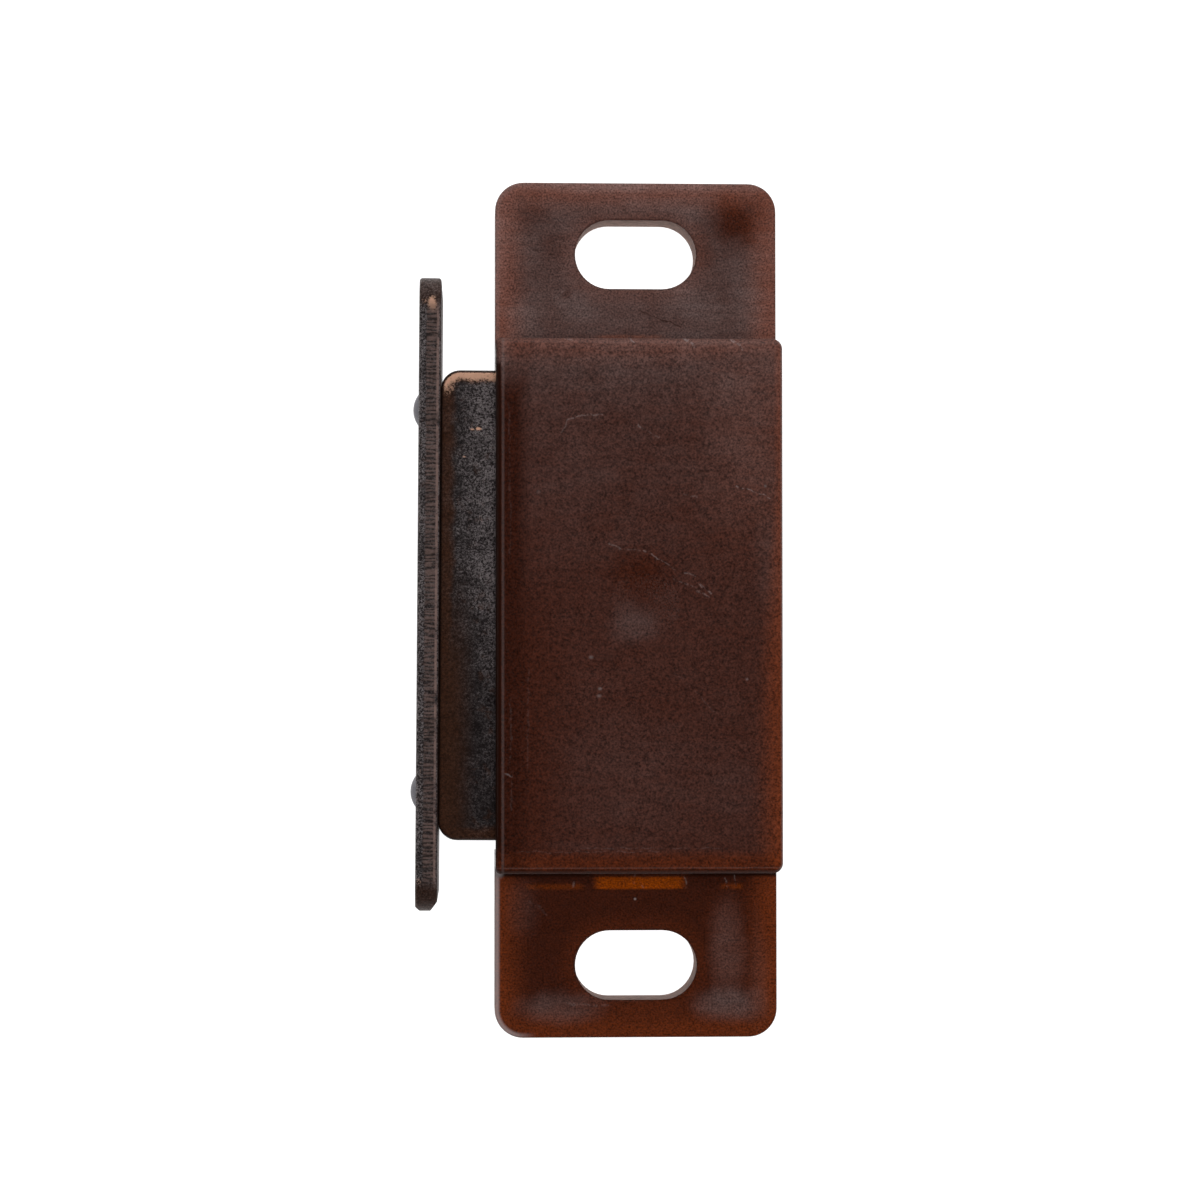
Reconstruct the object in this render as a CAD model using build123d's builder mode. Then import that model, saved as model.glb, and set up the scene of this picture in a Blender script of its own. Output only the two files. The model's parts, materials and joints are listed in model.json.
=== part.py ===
import os
from math import radians, sin, tan

from build123d import *

os.makedirs("parts", exist_ok=True)

# Magnetic catch for a cupboard door, in millimetres.
# The origin is the centre of the mounting face. -X points to the door, +X into the cupboard,
# Y runs along the catch, and +Z points away from the surface that the catch is screwed to.
# Sizes run from the inside out: the case is worked out from the pole pack that it holds.

# Pole pack: a ferrite magnet between two steel pole plates
pole_length = 30.1
pole_thickness = 2.3
pole_projection = 3.6  # how far the plates stand out of the mouth of the case
pole_corner_radius = 1.25
pole_roll_radius = 0.3  # edge drawn over by the punch, on each plate's outer face
magnet_thickness = 5.0
magnet_front_inset = 3.0  # from the front of the case
magnet_rear_inset = 1.0  # from the rear edge of the plates
magnet_end_inset = 3.0  # from each end of the plates
magnet_edge = 0.4
pack_turn = -0.35  # degrees about the post: the pack floats, and rests rocked by this much

# Central post of the case, its staked head, and the play of the pack on it
post_radius = 2.0
post_play = 0.6
magnet_play = 1.2
head_lap = 0.6
head_thickness = 1.0
head_chamfer = 0.35
head_recess = 0.35  # from the mounting face up to the head
punch_mark_radius = 0.8
punch_mark_depth = 0.5
post_root = 0.4  # the post spreads by this much where it meets the roof

# Case: one moulding with two ears and a hollow block, open below and to the front
case_width = 18.8
ear_length = 11.25
ear_thickness = 3.0
ear_corner_radius = 1.9
ear_edge_radius = 0.15
slot_edge = 0.12  # chamfer round the mouth of each slot
back_step = 0.3  # from the ears' rear edges in to the foot of the block. In front they are flush
end_wall = 1.1
back_wall = 1.2
roof = 1.5
end_play = 1.1
top_play = 0.25
block_draft = 1.0
pocket_draft = 0.5
front_corner_radius = 0.3
back_corner_radius = 0.65
block_edge_radius = 0.4
pocket_corner_radius = 1.0
pocket_roof_radius = 0.5
sink_radius = 2.6  # sink mark that the post leaves in the roof
sink_depth = 0.09

# Screw slots, across the ears
slot_length = 8.1
slot_width = 4.6
slot_inset = 4.8  # from the end of the ear to the middle of its slot

# Stop ribs inside the back wall, which the pack rocks against
rib_radius = 0.8
rib_projection = 0.6
rib_spacing = 22.0
stop_gap = 0.3

# Coring pockets under each ear, beside the foot of the block: a thin web is left over them
core_gap = 0.65
core_width = 0.85
core_middle_length = 6.5
core_side_length = 3.4
core_rib = 0.65
core_middle_web = 0.4
core_side_web = 0.8

# Strike plate, screwed to the door and held by the poles
strike_length = 40.5
strike_width = 12.0
strike_thickness = 1.4
strike_corner_radius = 1.5
strike_edge_radius = 0.2
strike_shift = 0.7  # it clings where it landed, this far off the middle along Y
pierce_shift = -0.33  # the hole and the pips were pierced together, this far off the middle of the blank
pip_spacing = 24.95
pip_radius = 1.15
pip_height = 0.45
dimple_radius = 0.75
dimple_depth = 0.4
screw_radius = 2.1
countersink_radius = 3.2
countersink_angle = 90
pole_crop_depth = 0.45  # the lower end was cropped aslant at both faces, more on the side of the poles
pole_crop_length = 0.65
door_crop = 0.3

# Worked out: the pack's place
pole_hole_radius = post_radius + post_play
head_radius = pole_hole_radius + head_lap
lower_plate_bottom = head_recess + head_thickness
magnet_bottom = lower_plate_bottom + pole_thickness
upper_plate_bottom = magnet_bottom + magnet_thickness
pack_top = upper_plate_bottom + pole_thickness
pack_middle = (lower_plate_bottom + pack_top) / 2

# Worked out: the case round the pack
case_front = -case_width / 2
pole_front = case_front - pole_projection
ceiling = pack_top + top_play
case_height = ceiling + roof
pocket_length = pole_length + 2 * end_play
block_length = pocket_length + 2 * end_wall
block_back = case_width / 2 - back_step
case_length = block_length + 2 * ear_length
pocket_back = block_back - back_wall
stop_face = pocket_back - rib_projection
pole_rear = stop_face - stop_gap
slot_spacing = case_length - 2 * slot_inset
print(f"case {case_length:.2f} x {case_width:.2f} x {case_height:.2f}, slots {slot_spacing:.2f} apart")

# How far the pack rocks about the post before a plate's rear edge meets a stop rib
rock_limit = 1.3
rock_gap = stop_gap - rib_spacing / 2 * sin(radians(rock_limit))
print(f"gap left at a stop rib with the pack rocked {rock_limit} degrees: {rock_gap:.3f}")
print(f"it rocks from {-rock_limit - pack_turn:.2f} to {rock_limit - pack_turn:.2f} degrees about where it rests")


def full_height_edges(moulding):
    """The edges that climb from the bottom of a moulding to its top, front ones first."""
    height = moulding.part.bounding_box().size.Z
    return moulding.edges().filter_by(lambda edge: edge.bounding_box().size.Z > height / 2).sort_by(Axis.X)


# Block over the pack, drafted so that it leaves the mould. Its front is cut off plumb, in line with the ears
draft_run = case_height * tan(radians(block_draft))
uncut_width = block_back - case_front + 2 * draft_run
with BuildPart() as block:
    with BuildSketch(Plane.XY):
        with Locations((block_back - uncut_width / 2, 0)):
            Rectangle(uncut_width, block_length)
    extrude(amount=case_height, taper=block_draft)
    split(bisect_by=Plane.YZ.offset(case_front), keep=Keep.TOP)
    fillet(full_height_edges(block)[:2], front_corner_radius)
    fillet(full_height_edges(block)[-2:], back_corner_radius)
    fillet(block.faces().sort_by(Axis.Z)[-1].edges(), block_edge_radius)

# Space inside the block. It runs out through the front, which leaves the mouth
pocket_front = case_front - pole_projection
with BuildPart() as pocket:
    with BuildSketch(Plane.XY):
        with Locations(((pocket_front + pocket_back) / 2, 0)):
            Rectangle(pocket_back - pocket_front, pocket_length)
    extrude(amount=ceiling, taper=pocket_draft)
    fillet(full_height_edges(pocket)[-2:], pocket_corner_radius)
    roof_edges = pocket.faces().sort_by(Axis.Z)[-1].edges().sort_by(Axis.X)
    fillet(roof_edges[1:], pocket_roof_radius)

# Case
with BuildPart() as case:
    # Ears and base, with the screw slots and their broken edges
    with BuildSketch(Plane.XY):
        RectangleRounded(case_width, case_length, ear_corner_radius)
        with Locations((0, slot_spacing / 2), (0, -slot_spacing / 2)):
            SlotOverall(slot_length, slot_width, mode=Mode.SUBTRACT)
    extrude(amount=ear_thickness)
    ear_top = case.faces().sort_by(Axis.Z)[-1]
    chamfer(ear_top.inner_wires().edges(), slot_edge)
    ear_top = case.faces().sort_by(Axis.Z)[-1]
    fillet(ear_top.outer_wire().edges(), ear_edge_radius)
    add(block.part)
    add(pocket.part, mode=Mode.SUBTRACT)

    # Stop ribs, half sunk in the back wall
    with Locations(
        (stop_face + rib_radius, rib_spacing / 2, head_recess),
        (stop_face + rib_radius, -rib_spacing / 2, head_recess),
    ):
        Cylinder(
            rib_radius, ceiling + roof / 2 - head_recess, align=(Align.CENTER, Align.CENTER, Align.MIN)
        )

    # Post, from inside the roof down to its staked head
    with BuildSketch(Plane.XZ):
        with BuildLine():
            Polyline(
                (0, ceiling + roof / 2),
                (post_radius + post_root, ceiling + roof / 2),
                (post_radius + post_root, ceiling),
                (post_radius, ceiling - post_root),
                (post_radius, lower_plate_bottom),
                (head_radius, lower_plate_bottom),
                (head_radius, head_recess + head_chamfer),
                (head_radius - head_chamfer, head_recess),
                (punch_mark_radius, head_recess),
                (0, head_recess + punch_mark_depth),
                close=True,
            )
        make_face()
    revolve(axis=Axis.Z)

    # Sink mark over the post, a shallow spherical dish
    dish = (sink_radius**2 + sink_depth**2) / (2 * sink_depth)
    with Locations((0, 0, case_height + dish - sink_depth)):
        Sphere(dish, mode=Mode.SUBTRACT)

    # Coring pockets, three in a row at each end
    core_y = block_length / 2 + core_gap + core_width / 2
    core_side_x = core_middle_length / 2 + core_rib + core_side_length / 2
    with BuildSketch(Plane.XY):
        with Locations((0, core_y), (0, -core_y)):
            Rectangle(core_middle_length, core_width)
    extrude(amount=ear_thickness - core_middle_web, mode=Mode.SUBTRACT)
    with BuildSketch(Plane.XY):
        with GridLocations(2 * core_side_x, 2 * core_y, 2, 2):
            Rectangle(core_side_length, core_width)
    extrude(amount=ear_thickness - core_side_web, mode=Mode.SUBTRACT)
case.part.label = "case"


# The pack and the strike on it are drawn in the plane that has rocked with them
rocked = Plane.XY.rotated((0, 0, pack_turn))


def make_pole_plate(label, bottom, outer_face):
    """A punched plate with a hole for the post. outer_face is the end of the sort whose edges are rolled."""
    with BuildPart() as plate:
        with BuildSketch(rocked.offset(bottom)) as outline:
            with Locations(((pole_front + pole_rear) / 2, 0)):
                Rectangle(pole_rear - pole_front, pole_length)
            fillet(outline.vertices(), pole_corner_radius)
            Circle(pole_hole_radius, mode=Mode.SUBTRACT)
        extrude(amount=pole_thickness)
        rolled_face = plate.faces().filter_by(Plane.XY).sort_by(Axis.Z)[outer_face]
        fillet(rolled_face.outer_wire().edges(), pole_roll_radius)
    plate.part.label = label
    return plate.part


upper_pole_plate = make_pole_plate("upper_pole_plate", upper_plate_bottom, -1)
lower_pole_plate = make_pole_plate("lower_pole_plate", lower_plate_bottom, 0)

# Magnet, a pressed ferrite block with a wide hole for the post
magnet_front = case_front + magnet_front_inset
magnet_rear = pole_rear - magnet_rear_inset
with BuildPart() as magnet:
    with BuildSketch(rocked.offset(magnet_bottom)):
        with Locations(((magnet_front + magnet_rear) / 2, 0)):
            Rectangle(magnet_rear - magnet_front, pole_length - 2 * magnet_end_inset)
    extrude(amount=magnet_thickness)
    chamfer(magnet.edges().filter_by(Axis.Z), magnet_edge)
    with BuildSketch(rocked.offset(magnet_bottom)):
        Circle(post_radius + magnet_play)
    extrude(amount=magnet_thickness, mode=Mode.SUBTRACT)
magnet.part.label = "magnet"

# Strike plate: the poles hold its near face, and the pips on its far face bite into the door.
# It is drawn on the far face, with its length along the plane's x
strike_plane = Plane(
    origin=rocked.from_local_coords((pole_front - strike_thickness, strike_shift, pack_middle)),
    x_dir=rocked.y_dir,
    z_dir=rocked.x_dir,
)
pierced_plane = Plane(
    origin=strike_plane.from_local_coords((pierce_shift, 0, 0)),
    x_dir=strike_plane.x_dir,
    z_dir=strike_plane.z_dir,
)
pip_ball = (pip_radius**2 + pip_height**2) / (2 * pip_height)
dimple_ball = (dimple_radius**2 + dimple_depth**2) / (2 * dimple_depth)

with BuildPart() as pips:
    with Locations(pierced_plane.offset(pip_ball - pip_height)):
        with GridLocations(pip_spacing, 0, 2, 1):
            Sphere(pip_ball)
    split(bisect_by=strike_plane.offset(strike_thickness / 2), keep=Keep.BOTTOM)

lower_end = -strike_length / 2
pole_side_crop = Plane(
    origin=strike_plane.from_local_coords((lower_end, 0, strike_thickness - pole_crop_depth)),
    z_dir=strike_plane.z_dir * pole_crop_length - strike_plane.x_dir * pole_crop_depth,
)
door_side_crop = Plane(
    origin=strike_plane.from_local_coords((lower_end, 0, door_crop)),
    z_dir=strike_plane.z_dir * -1 - strike_plane.x_dir,
)

with BuildPart() as strike_plate:
    with BuildSketch(strike_plane):
        RectangleRounded(strike_length, strike_width, strike_corner_radius)
    extrude(amount=strike_thickness)
    fillet(strike_plate.faces().filter_by(strike_plane).edges(), strike_edge_radius)
    split(bisect_by=pole_side_crop, keep=Keep.BOTTOM)
    split(bisect_by=door_side_crop, keep=Keep.BOTTOM)
    add(pips.part)
    with Locations(pierced_plane.offset(strike_thickness + dimple_ball - dimple_depth)):
        with GridLocations(pip_spacing, 0, 2, 1):
            Sphere(dimple_ball, mode=Mode.SUBTRACT)
    with Locations(pierced_plane.offset(strike_thickness)):
        CounterSinkHole(screw_radius, countersink_radius, counter_sink_angle=countersink_angle)
strike_plate.part.label = "strike_plate"

export_step(case.part, "parts/case.step")
export_step(upper_pole_plate, "parts/upper_pole_plate.step")
export_step(lower_pole_plate, "parts/lower_pole_plate.step")
export_step(magnet.part, "parts/magnet.step")
export_step(strike_plate.part, "parts/strike_plate.step")
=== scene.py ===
# %% [markdown]
# This scene dresses a small magnetic catch: a brown moulded case, two bronzed pole plates with a
# ferrite magnet between them, and the strike plate that clings to them. The pieces come finished
# from the CAD model, as a fixed frame. Modelling them again here would only bring in small errors,
# so Blender adds what the frame lacks: true shading on the rounds, the finish of each surface,
# light, and a camera.

import json
from math import pi, radians

import bmesh
import bpy
from mathutils import Matrix, Vector

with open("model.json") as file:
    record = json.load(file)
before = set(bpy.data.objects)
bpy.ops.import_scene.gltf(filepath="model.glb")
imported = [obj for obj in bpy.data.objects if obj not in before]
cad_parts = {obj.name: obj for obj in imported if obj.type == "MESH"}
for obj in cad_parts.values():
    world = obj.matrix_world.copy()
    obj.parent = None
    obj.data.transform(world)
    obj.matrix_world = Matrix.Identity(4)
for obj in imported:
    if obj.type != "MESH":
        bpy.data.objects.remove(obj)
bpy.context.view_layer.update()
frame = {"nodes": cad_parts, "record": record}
nodes = frame["nodes"]
MM = 0.001
print("pieces:", ", ".join(sorted(nodes)))

# %% [markdown]
# Every pattern below is placed by real sizes, in millimetres. They are measured on the frame where
# that is possible. The case's outline is its node's box, and the raised block is whatever part of
# it stands higher than the ears. The poles and the strike rest turned by a third of a degree, so
# their points are turned back before they are measured, or the box would come out too large.

# %% Measure the pieces, in millimetres
EAR_THICKNESS = 3.0
PACK_TURN = radians(-0.35)


def box_mm(name, above=-1.0, turn=0.0):
    """The corners of a node's box, above a height, in axes turned about Z."""
    turn_back = Matrix.Rotation(-turn, 3, "Z")
    points = [turn_back @ (v.co / MM) for v in nodes[name].data.vertices if v.co.z / MM > above]
    low = Vector(min(p[i] for p in points) for i in range(3))
    high = Vector(max(p[i] for p in points) for i in range(3))
    return low, high


case_low, case_high = box_mm("case")
block_low, block_high = box_mm("case", above=EAR_THICKNESS + 2)
pole_low, pole_high = box_mm("upper_pole_plate", turn=PACK_TURN)
strike_low, strike_high = box_mm("strike_plate", turn=PACK_TURN)
slots = next(mount for mount in frame["record"]["mounts"] if mount["name"] == "screw_slots")["dims"]
SLOT_Y = slots["spacing_y_mm"] / 2
SLOT_HALF = (slots["slot_length_mm"] / 2, slots["hole_r_mm"], 0)
for name, low, high in (
    ("case", case_low, case_high),
    ("block", block_low, block_high),
    ("pole", pole_low, pole_high),
    ("strike", strike_low, strike_high),
):
    print(name, "from", [round(v, 2) for v in low], "to", [round(v, 2) for v in high])

# %% [markdown]
# The CAD meshes are loose triangles, so a rounded edge would show its facets. Welding the points
# and smoothing every edge that turns by less than a set angle cures that. Smoothing alone would
# smear shade across the big flat faces beside each round, and the Weighted Normal modifier stops
# it: each point then takes its normal from the largest face that meets there. Both are modifiers,
# so the meshes underneath stay untouched.

# %% Smooth the rounds
SMOOTH_ANGLE = radians(32)
WELD_DISTANCE = 0.001 * MM


def smooth_rounds_group():
    """Geometry nodes: weld, shade smooth, and keep the edges that turn sharply."""
    group = bpy.data.node_groups.new("smooth_rounds", "GeometryNodeTree")
    group.interface.new_socket("Geometry", in_out="INPUT", socket_type="NodeSocketGeometry")
    group.interface.new_socket("Geometry", in_out="OUTPUT", socket_type="NodeSocketGeometry")
    make = group.nodes.new
    start, end = make("NodeGroupInput"), make("NodeGroupOutput")
    weld = make("GeometryNodeMergeByDistance")
    weld.inputs["Distance"].default_value = WELD_DISTANCE
    faces, edges = make("GeometryNodeSetShadeSmooth"), make("GeometryNodeSetShadeSmooth")
    edges.domain = "EDGE"
    edges.inputs["Shade Smooth"].default_value = False
    angle, sharp = make("GeometryNodeInputMeshEdgeAngle"), make("ShaderNodeMath")
    sharp.operation = "GREATER_THAN"
    sharp.inputs[1].default_value = SMOOTH_ANGLE
    link = group.links.new
    link(start.outputs[0], weld.inputs["Geometry"])
    link(weld.outputs["Geometry"], faces.inputs["Geometry"])
    link(faces.outputs["Geometry"], edges.inputs["Geometry"])
    link(angle.outputs["Unsigned Angle"], sharp.inputs[0])
    link(sharp.outputs[0], edges.inputs["Selection"])
    link(edges.outputs["Geometry"], end.inputs[0])
    return group


smooth_rounds = smooth_rounds_group()
for name, piece in nodes.items():
    piece.modifiers.new("smooth_rounds", "NODES").node_group = smooth_rounds
    weighted = piece.modifiers.new("weighted_normals", "WEIGHTED_NORMAL")
    weighted.keep_sharp = True
print("rounds smoothed on", len(nodes), "pieces")

# %% [markdown]
# A material is a graph, and writing it out one node at a time hides what it does. A few short
# helpers keep it readable: one adds a node and fills its inputs, two do arithmetic on numbers and
# on vectors, one turns a range of values into a mask from 0 to 1, and one mixes two colours. The
# rest are names for what comes up often: a stripe, a noise, a product, the largest of several.

# %% Helpers for shader graphs


def put(tree, kind, inputs=None, **options):
    """Adds a node, sets its options and fills its inputs with values or other nodes' outputs."""
    node = tree.nodes.new(kind)
    for name, value in options.items():
        setattr(node, name, value)
    for name, value in (inputs or {}).items():
        if isinstance(value, bpy.types.NodeSocket):
            tree.links.new(value, node.inputs[name])
        else:
            node.inputs[name].default_value = value
    return node


def maths(tree, operation, first, second=0.0, third=0.0):
    """One arithmetic step."""
    node = put(tree, "ShaderNodeMath", {0: first, 1: second, 2: third}, operation=operation)
    return node.outputs[0]


def opposite(tree, value):
    """1 minus a mask."""
    return maths(tree, "SUBTRACT", 1.0, value)


def away_from(tree, value, middle):
    """How far a value is from a middle value, on either side."""
    return maths(tree, "ABSOLUTE", maths(tree, "SUBTRACT", value, middle))


def vectors(tree, operation, first, second=(0, 0, 0), output="Vector"):
    """One step on vectors."""
    node = put(tree, "ShaderNodeVectorMath", {0: first, 1: second}, operation=operation)
    return node.outputs[output]


def scaled(tree, vector, factor):
    """A vector or colour times a number."""
    node = put(tree, "ShaderNodeVectorMath", {0: vector, "Scale": factor}, operation="SCALE")
    return node.outputs[0]


def mask(tree, value, none_at, full_at, most=1.0):
    """A soft step: 0 where the value is none_at, and most where it is full_at."""
    low, high, start, end = none_at, full_at, 0.0, most
    if none_at > full_at:
        low, high, start, end = full_at, none_at, most, 0.0
    step = put(
        tree,
        "ShaderNodeMapRange",
        {"Value": value, "From Min": low, "From Max": high, "To Min": start, "To Max": end},
        interpolation_type="SMOOTHSTEP",
    )
    return step.outputs["Result"]


def put_range(tree, value, low, high, at_low, at_high):
    """Turns one range of values into another, held at both ends."""
    inputs = {"Value": value, "From Min": low, "From Max": high, "To Min": at_low, "To Max": at_high}
    return put(tree, "ShaderNodeMapRange", inputs).outputs["Result"]


def band(tree, value, middle, half_width, soft, most=1.0):
    """A soft stripe round a middle value."""
    return mask(tree, away_from(tree, value, middle), half_width + soft, half_width, most)


def mix(tree, factor, first, second):
    """Mixes two colours. first shows where factor is 0."""
    node = put(tree, "ShaderNodeMix", {0: factor}, data_type="RGBA")
    for socket, colour in ((node.inputs[6], first), (node.inputs[7], second)):
        if isinstance(colour, bpy.types.NodeSocket):
            tree.links.new(colour, socket)
        else:
            socket.default_value = (*colour, 1)
    return node.outputs[2]


def either(tree, factor, first, second):
    """Mixes two numbers."""
    return put(tree, "ShaderNodeMix", {0: factor, 2: first, 3: second}).outputs[0]


def noise(tree, where, scale, detail=2.0, roughness=0.5, stretch=(1, 1, 1), distortion=0.0):
    """Fractal noise from 0 to 1, with its scale in waves to the millimetre."""
    stretched = vectors(tree, "MULTIPLY", where, stretch)
    values = {"Vector": stretched, "Scale": scale, "Detail": detail}
    values.update({"Roughness": roughness, "Distortion": distortion})
    return put(tree, "ShaderNodeTexNoise", values).outputs["Fac"]


def most_of(tree, values):
    """The largest of several masks at each point."""
    result = values[0]
    for value in values[1:]:
        result = maths(tree, "MAXIMUM", result, value)
    return result


def product(tree, values):
    """Several masks or numbers multiplied."""
    result = values[0]
    for value in values[1:]:
        result = maths(tree, "MULTIPLY", result, value)
    return result


print("helpers ready")

# %% [markdown]
# An effect that several materials share is made once, as a node group with named sockets, and then
# placed wherever it is needed with its own values. Two helpers make and use such groups.

# %% Helpers for node groups


def new_group(name, inputs, outputs):
    """An empty shader group with its sockets: the tree, its inputs and its end node."""
    group = bpy.data.node_groups.new(name, "ShaderNodeTree")
    for label, kind in inputs.items():
        group.interface.new_socket(label, in_out="INPUT", socket_type=f"NodeSocket{kind}")
    for label, kind in outputs.items():
        group.interface.new_socket(label, in_out="OUTPUT", socket_type=f"NodeSocket{kind}")
    start = group.nodes.new("NodeGroupInput")
    return group, start.outputs, group.nodes.new("NodeGroupOutput")


def use(tree, group, inputs, output):
    """Places a node group in a material and returns one of its outputs."""
    return put(tree, "ShaderNodeGroup", inputs, node_tree=group).outputs[output]


print("group helpers ready")

# %% [markdown]
# Wear and glow both follow the outline of a part: the rim is rubbed first, and light leaks in
# there. So the most useful mask of all is the distance to an outline. For a rectangle with rounded
# corners it takes a few steps of arithmetic, and a slot is such a rectangle too, with corners as
# large as its half width. As a group it serves the ears, their slots and the pole plates.

# %% Group: distance inside a rounded outline


def inside_outline_group():
    """Distance in from a rounded rectangle in XY: above 0 inside it, below 0 outside."""
    sockets = {"Position": "Vector", "Centre": "Vector", "Half Size": "Vector", "Corner": "Float"}
    tree, given, end = new_group("inside_outline", sockets, {"Inside": "Float"})
    offset = vectors(tree, "ABSOLUTE", vectors(tree, "SUBTRACT", given["Position"], given["Centre"]))
    corner = put(tree, "ShaderNodeCombineXYZ", {0: given["Corner"], 1: given["Corner"]}).outputs[0]
    core = vectors(tree, "SUBTRACT", given["Half Size"], corner)
    beyond = put(tree, "ShaderNodeSeparateXYZ", {0: vectors(tree, "SUBTRACT", offset, core)})
    out_x = maths(tree, "MAXIMUM", beyond.outputs["X"], 0.0)
    out_y = maths(tree, "MAXIMUM", beyond.outputs["Y"], 0.0)
    flat = put(tree, "ShaderNodeCombineXYZ", {0: out_x, 1: out_y}).outputs[0]
    outer = vectors(tree, "LENGTH", flat, output="Value")
    deepest = maths(tree, "MAXIMUM", beyond.outputs["X"], beyond.outputs["Y"])
    inner = maths(tree, "MINIMUM", deepest, 0.0)
    signed = maths(tree, "SUBTRACT", maths(tree, "ADD", outer, inner), given["Corner"])
    tree.links.new(maths(tree, "MULTIPLY", signed, -1.0), end.inputs["Inside"])
    return tree


inside_outline = inside_outline_group()


def outline_inside(tree, place, low, high, corner):
    """How far a point lies inside the outline of a box, in plan."""
    centre, half = (low + high) / 2, (high - low) / 2
    inputs = {"Position": place, "Centre": (centre.x, centre.y, 0), "Half Size": (half.x, half.y, 0)}
    inputs["Corner"] = corner
    return use(tree, inside_outline, inputs, "Inside")


print("group:", inside_outline.name)

# %% [markdown]
# Two more groups place marks one by one. The first is a soft oval spot, for haze and rubbed patches.
# A smooth oval looks sprayed on, so its edge bends. The noise that bends it is worked out once in
# each material and handed to every spot, because a noise in each would make the render slow.

# %% Group: soft spot


def soft_spot_group():
    """1 in the middle of an oval, 0 outside it. Bend moves its edge in and out."""
    sockets = {"Position": "Vector", "Centre": "Vector", "Reach": "Vector", "Bend": "Float"}
    tree, given, end = new_group("soft_spot", sockets, {"Mask": "Float"})
    away = vectors(tree, "SUBTRACT", given["Position"], given["Centre"])
    away = vectors(tree, "LENGTH", vectors(tree, "DIVIDE", away, given["Reach"]), output="Value")
    away = maths(tree, "ADD", away, given["Bend"])
    tree.links.new(mask(tree, away, 1.0, 0.15), end.inputs["Mask"])
    return tree


soft_spot = soft_spot_group()
TALL = 1000
MOST_BEND = 0.9


def bend(tree, place):
    """A slow noise about 0, to bend the edges of spots."""
    about_zero = maths(tree, "SUBTRACT", noise(tree, place, 0.9, 4, 0.6), 0.5)
    return product(tree, [about_zero, MOST_BEND])


def soft_spots(tree, place, spots, bent):
    """A mask for each spot of a list, which reaches through the whole height of the piece.

    A spot is its centre, its reach each way and its strength.
    """
    masks = []
    for (x, y), (reach_x, reach_y), strength in spots:
        inputs = {"Position": place, "Centre": (x, y, 0), "Reach": (reach_x, reach_y, TALL), "Bend": bent}
        masks.append(product(tree, [use(tree, soft_spot, inputs, "Mask"), strength]))
    return masks


print("group:", soft_spot.name)

# %% [markdown]
# The second is a hairline, for a scratch. A scratch drawn with a ruler looks false, so the place
# that it is drawn on wanders by a noise, again one for all scratches. A second noise breaks the
# lines up along their length, where they are used.

# %% Group: hairline scratch
SCRATCH_SWAY = (0.5, 0.5, 0.0)
SWAY_SCALE = 1.6


def hairline_group():
    """1 on a thin line between two points of the plan."""
    sockets = {"Position": "Vector", "From": "Vector", "To": "Vector", "Width": "Float"}
    tree, given, end = new_group("hairline", sockets, {"Mask": "Float"})
    along = vectors(tree, "SUBTRACT", given["To"], given["From"])
    reach = vectors(tree, "SUBTRACT", given["Position"], given["From"])
    length = vectors(tree, "DOT_PRODUCT", along, along, output="Value")
    share = vectors(tree, "DOT_PRODUCT", reach, along, output="Value")
    share = put(tree, "ShaderNodeClamp", {"Value": maths(tree, "DIVIDE", share, length)}).outputs[0]
    foot = scaled(tree, along, share)
    away = vectors(tree, "LENGTH", vectors(tree, "SUBTRACT", reach, foot), output="Value")
    away = maths(tree, "DIVIDE", away, given["Width"])
    tree.links.new(mask(tree, away, 1.0, 0.2), end.inputs["Mask"])
    return tree


hairline = hairline_group()


def wandering(tree, place):
    """The place in plan, shifted by a noise, so that a straight line drawn on it wanders."""
    wander = put(tree, "ShaderNodeTexNoise", {"Vector": place, "Scale": SWAY_SCALE, "Detail": 4})
    sway = vectors(tree, "SUBTRACT", wander.outputs["Color"], (0.5, 0.5, 0.5))
    sway = vectors(tree, "MULTIPLY", sway, SCRATCH_SWAY)
    return vectors(tree, "MULTIPLY", vectors(tree, "ADD", place, sway), (1, 1, 0))


def hairlines(tree, wandered, lines):
    """All the scratches of a list, as one mask. A scratch is its two ends, width and strength."""
    masks = []
    for (x0, y0), (x1, y1), width, strength in lines:
        inputs = {"Position": wandered, "From": (x0, y0, 0), "To": (x1, y1, 0), "Width": width}
        masks.append(product(tree, [use(tree, hairline, inputs, "Mask"), strength]))
    return most_of(tree, masks)


print("group:", hairline.name)

# %% [markdown]
# Each material starts from the same few nodes: a Principled shader, and the place on the piece in
# millimetres. Object coordinates give that place, because every piece sits at the origin, unturned.

# %% A material to start from


def new_material(name):
    """A material with its tree, its Principled shader and the place on the piece in mm."""
    material = bpy.data.materials.new(name)
    material.use_nodes = True
    tree = material.node_tree
    coordinates = tree.nodes.new("ShaderNodeTexCoord")
    place = scaled(tree, coordinates.outputs["Object"], 1 / MM)
    return material, tree, tree.nodes["Principled BSDF"], place


def parts_of(tree, place):
    """The three coordinates of a place."""
    return put(tree, "ShaderNodeSeparateXYZ", {0: place}).outputs


def by_depth(tree, z, top, none_at, full_at):
    """A mask by how deep a point lies below a top: 0 at the first depth, 1 at the second."""
    return mask(tree, z, top - none_at, top - full_at)


def set_surface(tree, shader, colour, roughness, height, depth_mm):
    """Links colour, roughness and a relief of a given depth to the shader."""
    tree.links.new(colour, shader.inputs["Base Color"])
    tree.links.new(roughness, shader.inputs["Roughness"])
    bump = put(tree, "ShaderNodeBump", {"Height": height, "Strength": 1.0, "Distance": depth_mm * MM})
    tree.links.new(bump.outputs[0], shader.inputs["Normal"])


def dress(piece, material):
    """Gives a piece its material, in the slot that it came with."""
    if not piece.material_slots:
        piece.data.materials.append(material)
    for slot in piece.material_slots:
        slot.material = material


print("material helpers ready")
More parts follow.
